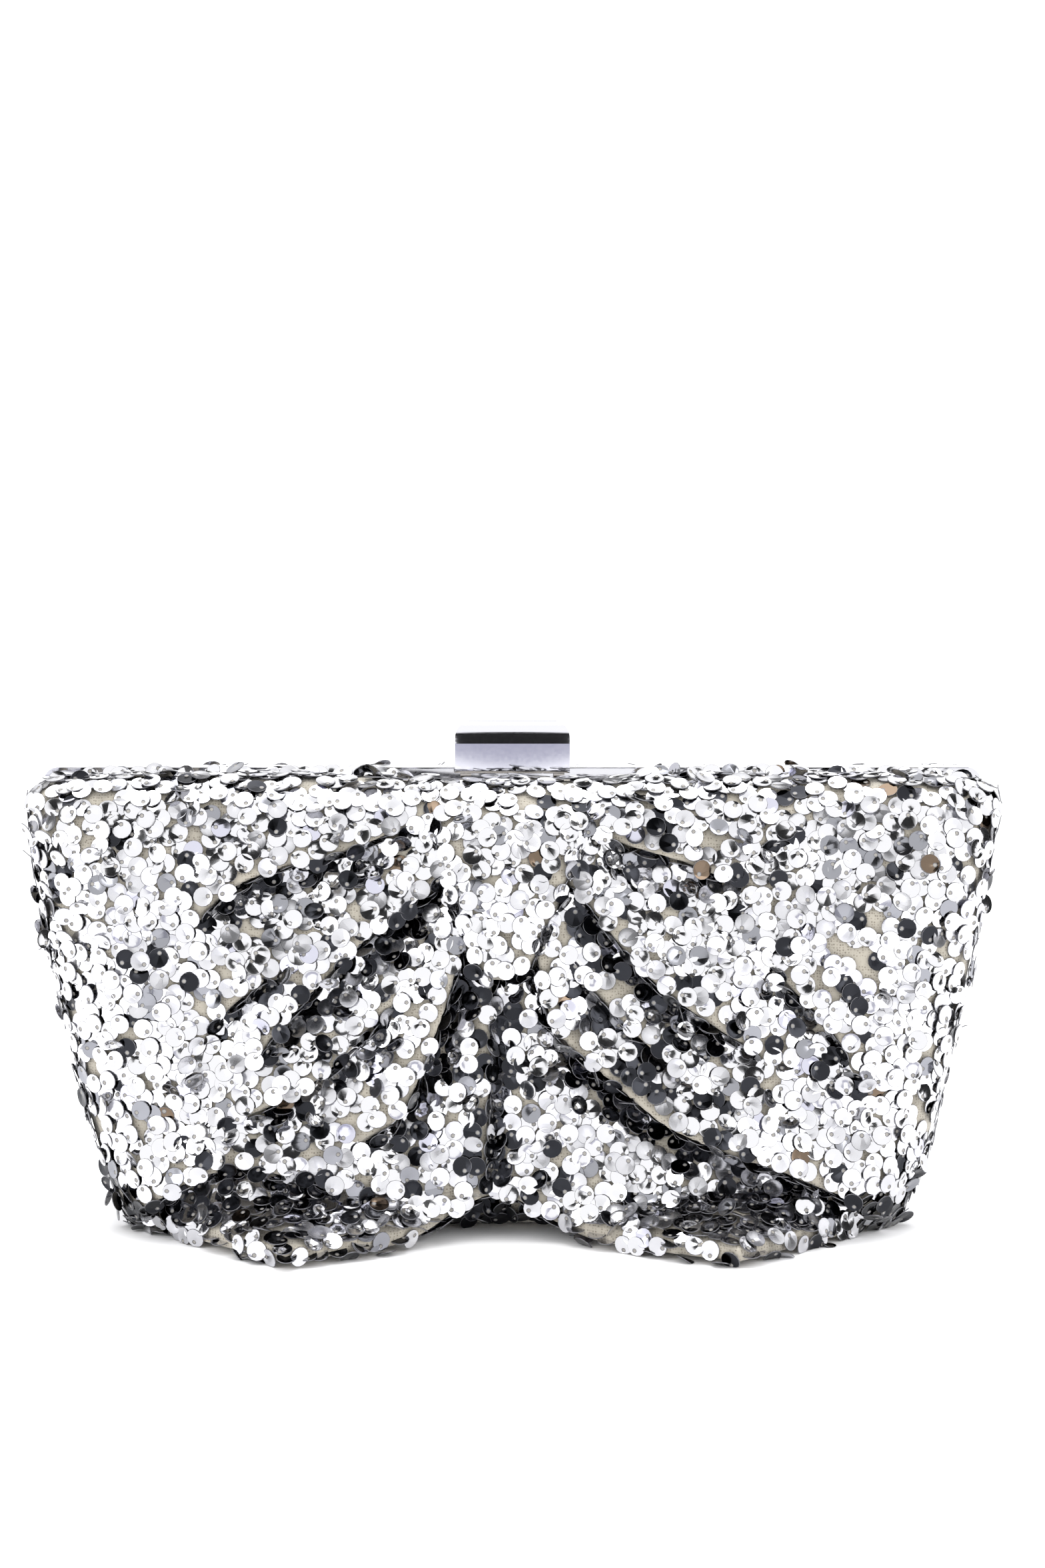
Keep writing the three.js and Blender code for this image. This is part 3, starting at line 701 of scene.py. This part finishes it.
def sew_sequins(name, body, points, normals, layers, painted_shade, rng):
    """Copies the sequin to every place, tilted and turned at random, as one piece."""
    shape, faces, parts = one_sequin()
    count = len(points)
    turn = rng.random(count) * 2 * pi
    steep = rng.random(count) < STEEP_SHARE + STEEP_IN_DARK * painted_shade
    tilt = np.radians(np.where(steep, rng.uniform(14, 42, count), rng.uniform(1, 8, count)))
    lean = rng.random(count) * 2 * pi
    helper = np.where(np.abs(normals[:, 2:]) < 0.9, [[0, 0, 1.0]], [[1.0, 0, 0]])
    u = np.cross(helper, normals)
    u /= np.linalg.norm(u, axis=1, keepdims=True)
    v = np.cross(normals, u)
    way = np.cos(lean)[:, None] * u + np.sin(lean)[:, None] * v
    up = np.cos(tilt)[:, None] * normals + np.sin(tilt)[:, None] * way
    first = np.cos(turn)[:, None] * u + np.sin(turn)[:, None] * v
    first -= (first * up).sum(1, keepdims=True) * up
    first /= np.linalg.norm(first, axis=1, keepdims=True)
    second = np.cross(up, first)
    base = points + normals * (0.3 + SEQUIN / 2 * np.sin(tilt) * 0.7 + layers * LAYER)[:, None]
    corners = (base[:, None] + shape[None, :, :1] * first[:, None] + shape[None, :, 1:2] * second[:, None]
               + shape[None, :, 2:] * up[:, None])
    corners[..., 2] = np.maximum(corners[..., 2], 0.2)
    mesh = bpy.data.meshes.new(name)
    per = len(shape)
    loops = [tuple(n * per + k for k in face) for n in range(count) for face in faces]
    mesh.from_pydata((corners.reshape(-1, 3) * MM).tolist(), [], loops)
    obj = bpy.data.objects.new(name, mesh)
    bpy.context.scene.collection.objects.link(obj)
    dress(obj, *FILMS, cut_edge_and_painted_shade, thread)
    kinds = rng.choice(len(FILMS), count, p=SHARES)
    # Painted shade: sequins marked as lying in shade take the dark film.
    kinds[rng.random(count) < painted_shade * PAINTED_SHADE_SHARE] = PAINTED_SHADE_FILM
    slots = np.where(parts == FILM_PART, kinds[:, None], len(FILMS) - 1 + parts)
    mesh.polygons.foreach_set("material_index", slots.ravel().astype(np.int32))
    smooth(obj, 40)
    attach(obj, body)


rng = np.random.default_rng(7)
PITCH = 2.75
MID_HEIGHT, BACK_MIDDLE = 62.0, 69.0
HEM_HIGH, HEM_AHEAD = 6.5, 9.0
CLASP_REACH, FRAME_REACH = 1.5, 8.5
FRAME_MIDDLE, FRAME_BARE = 4.0, 29.0
FRINGE_FROM, FRINGE_SHARE = 5.0, 0.75
CLASP_CLEAR = 18.0
KNOT_LAP, TABLE_GAP, FACING_TABLE = 3.0, 1.3, -0.97


def left_bare(points):
    """The strip beside the frame, and the ground that the clasp swings down to."""
    by_clasp = (np.abs(points[:, 0]) < CLASP_CLEAR) & (points[:, 1] > CLASP_REACH)
    by_frame = (np.abs(points[:, 0] - FRAME_MIDDLE) < FRAME_BARE) & (points[:, 1] > FRAME_REACH)
    return by_clasp | by_frame


def seen_on_bow(points, normals):
    under_knot = np.where(points[:, 2] > KNOT_FOOT, knot_half(points[:, 2])[0] - KNOT_LAP, -1)
    clear = np.abs(points[:, 0] + 1.5) > under_knot
    return clear & ~left_bare(points) & (points[:, 2] > TABLE_GAP) & (normals[:, 2] > FACING_TABLE)


def sew(name, body, places, chosen):
    sew_sequins(name, body, *(part[chosen] for part in places), rng)


def settle_at_frame(places):
    """Beside the clasp the net is pulled tight and its sequins lie flat; further out they stand up
    against the frame and hide it. Those facing down, as under a fold, take dark film as painted shade."""
    points, normals, layers, painted_shade = places
    by_clasp = np.abs(points[:, 0] - FRAME_MIDDLE) < FRAME_BARE
    tight = (points[:, 2] > HEIGHT - 3) & by_clasp
    fringe = (points[:, 2] > HEIGHT - 2) & (points[:, 1] > FRINGE_FROM) & ~by_clasp
    fringe &= rng.random(len(points)) < FRINGE_SHARE
    upright = np.stack([rng.normal(0, 0.25, len(points)), rng.normal(-0.8, 0.15, len(points)),
                        rng.uniform(0.35, 0.8, len(points))], 1)
    upright /= np.linalg.norm(upright, axis=1, keepdims=True)
    # Painted shade: sequins that face downwards take the dark film.
    painted_shade = np.where(normals[:, 2] < -0.3, np.maximum(painted_shade, 0.8), painted_shade)
    return points, np.where(fringe[:, None], upright, normals), layers, np.where(tight, NONE_STEEP, painted_shade)


def lie_on_table(places):
    """Where the loops meet the table, their sequins are pressed flat, and some take the dark film as painted
    shade.
    """
    points, normals, layers, painted_shade = places
    hem = (points[:, 2] < HEM_HIGH) & (points[:, 1] < FACE - HEM_AHEAD) & (rng.random(len(points)) < 0.4)
    flat = normals * 0.25 + np.stack([rng.normal(0, 0.12, len(points)), rng.normal(-0.1, 0.12, len(points)),
                                      np.ones(len(points))], 1)
    flat /= np.linalg.norm(flat, axis=1, keepdims=True)
    # Painted shade: the pressed hem sequins take the dark film now and then.
    return points, np.where(hem[:, None], flat, normals), layers, np.where(hem, np.maximum(painted_shade, 0.35), painted_shade)


for hand in ("left", "right"):
    places = scatter(bow_rows[hand], PITCH, seen_on_bow, rng, closed=False, shade=bow_shade[hand])
    places = settle_at_frame(lie_on_table(places))
    high = places[0][:, 2] > MID_HEIGHT
    sew(f"bow_sequins_{hand}_upper", "front_half", places, high)
    sew(f"bow_sequins_{hand}_lower", "front_half", places, ~high)


def seen_on_knot(points, normals):
    return (normals[:, 2] > -0.8) & ~left_bare(points)


places = settle_at_frame(scatter(knot_rows, PITCH, seen_on_knot, rng, closed=False))
sew("bow_sequins_knot", "front_half", places, places[0][:, 2] > 0)


def seen_on_wall(points, normals):
    wall = (np.abs(points[:, 1] - PARTING) < WALL + 3) & (np.abs(normals[:, 0]) > 0.3)
    wall &= points[:, 2] < HEIGHT - 1
    between_loops = (np.abs(points[:, 0] - GAP_PLACE) < 26) & (points[:, 2] < 22)
    return (wall | between_loops) & (points[:, 2] > 3) & (normals[:, 2] > -0.8)


def seen_on_back(points, normals):
    near_clasp = (np.abs(points[:, 0]) < CLASP_CLEAR) & (points[:, 1] < PARTING + 7)
    return (normals[:, 2] > -0.8) & (points[:, 2] > 3) & ~near_clasp


inside = np.array([0, PARTING, HEIGHT / 2])
places = scatter(cover_rows["front"], PITCH, seen_on_wall, rng, closed=True, outwards=inside)
# Painted shade: this piece's sequins within 40 mm of the middle, between the loops under the body, are all
# marked for the dark film.
shaded = np.abs(places[0][:, 0]) < 40
places = (*places[:3], np.where(shaded, 1.0, places[3]))
sew("front_sequins_sides", "front_half", places, places[0][:, 2] > 0)
places = scatter(cover_rows["back"], PITCH, seen_on_back, rng, closed=True, outwards=inside)
high = places[0][:, 2] > BACK_MIDDLE
sew("back_sequins_upper", "back_half", places, high)
sew("back_sequins_lower", "back_half", places, ~high)

# ---------------------------------------------------------------------------------------------
# The frame. Two nickel-plated steel channels, bent to the body's outline and hinged together along
# the base; only their top bars show. Rolled steel with softened edges, polished before plating.


def refined(node, body, material, bevel, angle=35):
    """A copy of a hard piece with its edges rounded over, in place of the plain one."""
    plain = bpy.data.objects[node]
    obj = bpy.data.objects.new(f"{node}_finished", plain.data.copy())
    bpy.context.scene.collection.objects.link(obj)
    obj.data.transform(plain.matrix_world)
    edit(obj)
    bpy.ops.mesh.remove_doubles(threshold=0.000005)
    bpy.ops.mesh.dissolve_limited(angle_limit=radians(1))
    bpy.ops.mesh.normals_make_consistent(inside=False)
    leave()
    modify(obj, "BEVEL", width=bevel * MM, segments=2, limit_method="ANGLE", angle_limit=radians(angle))
    smooth(obj, 30)
    dress(obj, material)
    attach(obj, body)
    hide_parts(node)
    return obj


def plated(name, colour, roughness, grain=900.0):
    """Bright nickel over polished steel: a mirror with faint polishing marks, 1 mm apart to show."""
    material, shader = new_material(name, Base_Color=linear(colour), Metallic=1.0)
    place = add_node(material, "ShaderNodeTexCoord")
    marks = add_node(material, "ShaderNodeTexNoise", [(place.outputs["Object"], "Vector")],
                     Scale=grain, Detail=3.0)
    add_node(material, "ShaderNodeMapRange", [(marks.outputs["Fac"], "Value")],
             [("Result", shader.inputs["Roughness"])], To_Min=roughness * 0.6, To_Max=roughness * 1.5)
    return material


nickel = plated("nickel_plated_steel", "#CDCDD2", 0.09)
for half in ("front", "back"):
    channel = refined(f"{half}_frame", f"{half}_half", nickel, 0.3)

# ---------------------------------------------------------------------------------------------
# The small steel parts: the hinge pins along the base, and the pin, spring and rivets of the
# clasp. Bright drawn wire and turned rivets, a little duller than the plating.

steel = plated("drawn_steel", "#A6A6AA", 0.22, 1500.0)
for node, body, bevel in (
    ("hinge_pin_left", "front_half", 0.2),
    ("hinge_pin_right", "front_half", 0.2),
    ("clasp_pin", "front_half", 0.12),
    ("clasp_spring", "front_half", 0.08),
    ("clasp_rivet_left", "front_half", 0.15),
    ("clasp_rivet_right", "front_half", 0.15),
    ("catch_rivet_left", "back_half", 0.15),
    ("catch_rivet_right", "back_half", 0.15),
):
    refined(node, body, steel, bevel)

# ---------------------------------------------------------------------------------------------
# The clasp. A pressed brass cap, plated and polished, hinged at its front edge on a base that is
# riveted to the front bar. Its lip snaps behind the tongue of the catch on the back bar.

clasp_plate = plated("nickel_plated_brass", "#D2D2D9", 0.05, 1200.0)
for node, body in (("clasp_base", "front_half"), ("catch_plate", "back_half")):
    refined(node, body, clasp_plate, 0.15)

FRAME_TOP = HEIGHT + 3.0
FLAP_LOW, FLAP_HIGH = (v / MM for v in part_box("clasp_flap"))
FLAP_FOOT = FRAME_TOP - 1.1
FLAP_HALF = FLAP_HIGH.x
FLAP_CORNER = 4.6
FLAP_BEND = 6.0
FLAP_SHEET = 0.8
FLAP_BACK = 3.6
LEAN, LEAN_END = 19, 23.2


def flap_profile():
    """The cap's section in y and z: an upright face, a band that leans back, the top and the back."""
    share = np.linspace(0, 1, 34)
    slope = np.radians(np.interp(share, [0, 0.6, 1], [LEAN, LEAN_END, 90]))
    step = np.stack([np.sin(slope), np.cos(slope)], 1)
    bend = np.vstack([[0, 0], np.cumsum((step[1:] + step[:-1]) / 2, axis=0)])
    bend *= FLAP_BEND / bend[-1, 1]
    face = [(FLAP_LOW.y, z) for z in np.linspace(FLAP_FOOT, FLAP_HIGH.z - FLAP_BEND, 12)[:-1]]
    front = bend + (FLAP_LOW.y, FLAP_HIGH.z - FLAP_BEND)
    turn = np.linspace(0, pi / 2, 10)
    rear = np.stack([FLAP_HIGH.y - FLAP_BACK + FLAP_BACK * np.sin(turn),
                     FLAP_HIGH.z - FLAP_BACK + FLAP_BACK * np.cos(turn)], 1)
    flat = [(y, FLAP_HIGH.z) for y in np.linspace(front[-1, 0], rear[0, 0], 8)[1:-1]]
    back = [(FLAP_HIGH.y, z) for z in np.linspace(rear[-1, 1], FRAME_TOP + 0.5, 8)[1:]]
    return np.array([*face, *front, *flat, *rear, *back])


section = flap_profile()
cap = rows_to_mesh("clasp_cap", [[(x, y, z) for y, z in section] for x in (-FLAP_HALF - 1, FLAP_HALF + 1)])
edit(cap)
bpy.ops.mesh.fill_holes(sides=0)
bpy.ops.mesh.normals_make_consistent(inside=False)
leave()

deselect()
bpy.ops.mesh.primitive_cube_add(size=MM)
outline_block = bpy.context.object
edit(outline_block)
block_height = FLAP_HIGH.z - FLAP_FOOT + 2
bpy.ops.transform.resize(value=(2 * FLAP_HALF, 40, block_height))
bpy.ops.transform.translate(value=(0, FLAP_LOW.y * MM, (FLAP_HIGH.z + 0.02 - block_height / 2) * MM))
bpy.ops.mesh.select_all(action="DESELECT")
leave()
for edge in outline_block.data.edges:
    ends = [outline_block.data.vertices[k].co for k in edge.vertices]
    edge.select = abs(ends[0].y - ends[1].y) > 10 * MM and min(end.z for end in ends) > FLAP_HIGH.z * MM
bpy.ops.object.mode_set(mode="EDIT")
bpy.ops.mesh.bevel(offset=FLAP_CORNER * MM, segments=12, affect="EDGES")
leave()
modify(cap, "BOOLEAN", object=outline_block, operation="INTERSECT", solver="EXACT")
bpy.data.objects.remove(outline_block)
edit(cap)
bpy.ops.mesh.select_all(action="DESELECT")
leave()
for face in cap.data.polygons:
    face.select = face.normal.z < -0.5 and face.center.z < (FRAME_TOP + 1) * MM
bpy.ops.object.mode_set(mode="EDIT")
bpy.ops.mesh.select_mode(type="FACE")
bpy.ops.mesh.delete(type="FACE")
bpy.ops.mesh.select_mode(type="VERT")
leave()
modify(cap, "SOLIDIFY", thickness=FLAP_SHEET * MM, offset=-1)
modify(cap, "BEVEL", width=0.4 * MM, segments=3, limit_method="ANGLE", angle_limit=radians(50))
smooth(cap, 17)
dress(cap, clasp_plate)
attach(cap, "clasp_flap")
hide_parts("clasp_flap")

AXIS_Y, AXIS_Z = (sum(corner[k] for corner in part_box("clasp_pin")) / 2 / MM for k in (1, 2))
BARREL, BARREL_LENGTH = 1.05, 16.0
deselect()
bpy.ops.mesh.primitive_cylinder_add(radius=BARREL * MM, depth=BARREL_LENGTH * MM, vertices=32)
barrel = bpy.context.object
barrel.name = "clasp_cap_barrel"
edit(barrel)
bpy.ops.transform.rotate(value=pi / 2, orient_axis="Y", center_override=(0, 0, 0))
bpy.ops.transform.translate(value=(0, AXIS_Y * MM, AXIS_Z * MM))
leave()
modify(barrel, "BEVEL", width=0.15 * MM, segments=2, limit_method="ANGLE", angle_limit=radians(50))
smooth(barrel, 32)
dress(barrel, clasp_plate)
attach(barrel, "clasp_flap")

deselect()
bpy.ops.mesh.primitive_cube_add(size=MM)
lip = bpy.context.object
lip.name = "clasp_cap_lip"
edit(lip)
bpy.ops.transform.resize(value=(14, 1.2, 0.6))
bpy.ops.transform.translate(value=(0, (FLAP_HIGH.y - 1.3) * MM, (FRAME_TOP + 1.3) * MM))
leave()
modify(lip, "BEVEL", width=0.15 * MM, segments=2)
smooth(lip, 32)
dress(lip, clasp_plate)
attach(lip, "clasp_flap")

# ---------------------------------------------------------------------------------------------
# The shells and the wadding. Grey fibreboard trays under the cover, and thin polyester wadding
# glued on their faces. Only their edges could ever show, so both keep their plain shapes.


def mottled(name, light, dark, scale, roughness, bump):
    """Fibres pressed together, so two shades in soft blotches with a slightly rough surface."""
    material, shader = new_material(name, Roughness=roughness)
    place = add_node(material, "ShaderNodeTexCoord")
    fibres = add_node(material, "ShaderNodeTexNoise", [(place.outputs["Object"], "Vector")],
                      Scale=scale, Detail=6.0)
    shade = add_node(material, "ShaderNodeValToRGB", [(fibres.outputs["Fac"], "Fac")],
                     [("Color", shader.inputs["Base Color"])])
    shade.color_ramp.elements[0].position, shade.color_ramp.elements[1].position = 0.35, 0.65
    shade.color_ramp.elements[0].color, shade.color_ramp.elements[1].color = linear(dark), linear(light)
    add_node(material, "ShaderNodeBump", [(fibres.outputs["Fac"], "Height")],
             [("Normal", shader.inputs["Normal"])], Strength=bump, Distance=0.0003)
    return material


board = mottled("grey_fibreboard", "#8F8A82", "#736E66", 700.0, 0.85, 0.4)
wadding = mottled("polyester_wadding", "#EEEDE9", "#D9D7D1", 300.0, 0.95, 0.8)
for half in ("front", "back"):
    for part, material, slot in (("shell", board, "shell_board"), ("padding", wadding, "wadding")):
        piece = bpy.data.objects[f"{half}_{part}"]
        dress(piece, material)

# ---------------------------------------------------------------------------------------------
# The lining. Ivory polyester satin glued into each half, a little loose, so it lies in soft
# ripples; its raw edge is caught under the frame.

LINING_INSET = 5.1
LINING_DEPTH = 23.1
LINING_EDGE = 6.5
SATIN = "#D8D3C9"


def satin_weave(name, colour):
    """Satin: smooth long floats in one direction, so a soft streaky sheen, painted into its colour as
    paler and darker bands. The yarns are 0.2 mm, and the streaks are drawn much coarser than that,
    so that they show."""
    material, shader = new_material(name, Roughness=0.34, Sheen_Weight=0.25, Sheen_Roughness=0.3,
                                    Anisotropic=0.4)
    place = add_node(material, "ShaderNodeTexCoord")
    streaks_for_sheen_and_bump = add_node(material, "ShaderNodeTexWave", [(place.outputs["Object"], "Vector")],
                      Scale=260.0, Distortion=2.5, Detail=2.0, bands_direction="X")
    shade = add_node(material, "ShaderNodeValToRGB", [(streaks_for_sheen_and_bump.outputs["Fac"], "Fac")],
                     [("Color", shader.inputs["Base Color"])])
    # Painted sheen: the satin's colour runs between a darker and a paler tone along the streaks.
    pale, painted_shade = linear(colour), [c * 0.82 for c in linear(colour)[:3]] + [1.0]
    shade.color_ramp.elements[0].color, shade.color_ramp.elements[1].color = painted_shade, pale
    add_node(material, "ShaderNodeBump", [(streaks_for_sheen_and_bump.outputs["Fac"], "Height")],
             [("Normal", shader.inputs["Normal"])], Strength=0.25, Distance=0.0001)
    return material


satin = satin_weave("polyester_satin", SATIN)
for half, side in (("front", FRONT), ("back", BACK)):
    rows = np.array(tray_rows(side, LINING_INSET, LINING_DEPTH, LINING_DEPTH - LINING_EDGE, -0.5, 4.6,
                              LINING_EDGE, 0))
    x, z = rows[..., 0], rows[..., 2]
    wave = 0.35 * np.sin(x / 6 + 2 * np.sin(z / 17)) + 0.25 * np.sin(z / 5 + x / 13)
    centre = np.array([0, PARTING, HEIGHT / 2])
    inwards = centre - rows
    inwards[..., 1] *= 0.5
    inwards /= np.linalg.norm(inwards, axis=-1, keepdims=True)
    depth_in = ramp(np.arange(len(rows)), 1, 5)[:, None, None]
    rows = rows + inwards * (0.6 + wave[..., None]) * depth_in
    lining = rows_to_mesh(f"{half}_lining_satin", rows)
    close_middle(lining)
    face_outwards(lining)
    modify(lining, "SOLIDIFY", thickness=0.35 * MM, offset=-1)
    smooth(lining)
    dress(lining, satin)
    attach(lining, f"{half}_half")
    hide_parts(f"{half}_lining")

# ---------------------------------------------------------------------------------------------
# The slip pocket on the back lining. A satin rectangle, hemmed along its top and sewn down along
# its sides and base.

POCKET = [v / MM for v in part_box("slip_pocket")]
HEM = 1.6
grid_x = np.linspace(POCKET[0].x, POCKET[1].x, 61)
grid_z = np.concatenate([np.linspace(POCKET[0].z, POCKET[1].z - HEM, 34),
                         np.linspace(POCKET[1].z - HEM + 0.3, POCKET[1].z, 6)])
px, pz = np.meshgrid(grid_x, grid_z)
inner = 1 - (np.abs(px) / POCKET[1].x) ** 8
high = (pz - POCKET[0].z) / (POCKET[1].z - POCKET[0].z)
bag_out = inner * (0.2 + 0.9 * high + 0.25 * np.sin(px / 7 + high * 2) * high)
hem_up = 0.35 * (pz > POCKET[1].z - HEM)
pocket_rows = np.stack([px, POCKET[0].y + 0.3 - bag_out - hem_up, pz], -1)
pocket = rows_to_mesh("slip_pocket_satin", pocket_rows, closed=False)
face_outwards(pocket)
modify(pocket, "SOLIDIFY", thickness=0.4 * MM, offset=0)
smooth(pocket, 60)
dress(pocket, satin)
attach(pocket, "back_half")
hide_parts("slip_pocket")

# ---------------------------------------------------------------------------------------------
# The gussets. A satin gore at each side, glued to the linings of both halves, folded inwards as
# when the bag is shut.

GUSSET_BASE, GUSSET_TOP = 9.0, HEIGHT - 9.0
GUSSET_REACH = 3.6
GUSSET_INSET = 5.9
GUSSET_FOLD = 15.0
for hand, sign in (("left", -1), ("right", 1)):
    heights = np.linspace(GUSSET_BASE, GUSSET_TOP, 40)
    across = np.linspace(-1, 1, 49)
    z, t = np.meshgrid(heights, across, indexing="ij")
    wall_x = HALF_BASE + SLOPE * z - GUSSET_INSET
    fold_depth = GUSSET_FOLD * ramp(z, GUSSET_BASE - 22, GUSSET_BASE + 30)
    x = wall_x - fold_depth * (1 - np.abs(t) ** 1.3) - 0.3 * np.sin(z / 6) * (1 - t**2)
    rows = np.stack([sign * x, PARTING + GUSSET_REACH * t, z], -1)
    gusset = rows_to_mesh(f"gusset_{hand}_satin", rows, closed=False)
    face_outwards(gusset)
    modify(gusset, "SOLIDIFY", thickness=0.35 * MM, offset=0)
    smooth(gusset)
    dress(gusset, satin)
    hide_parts(f"gusset_{hand}_front", f"gusset_{hand}_back")
    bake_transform(gusset)
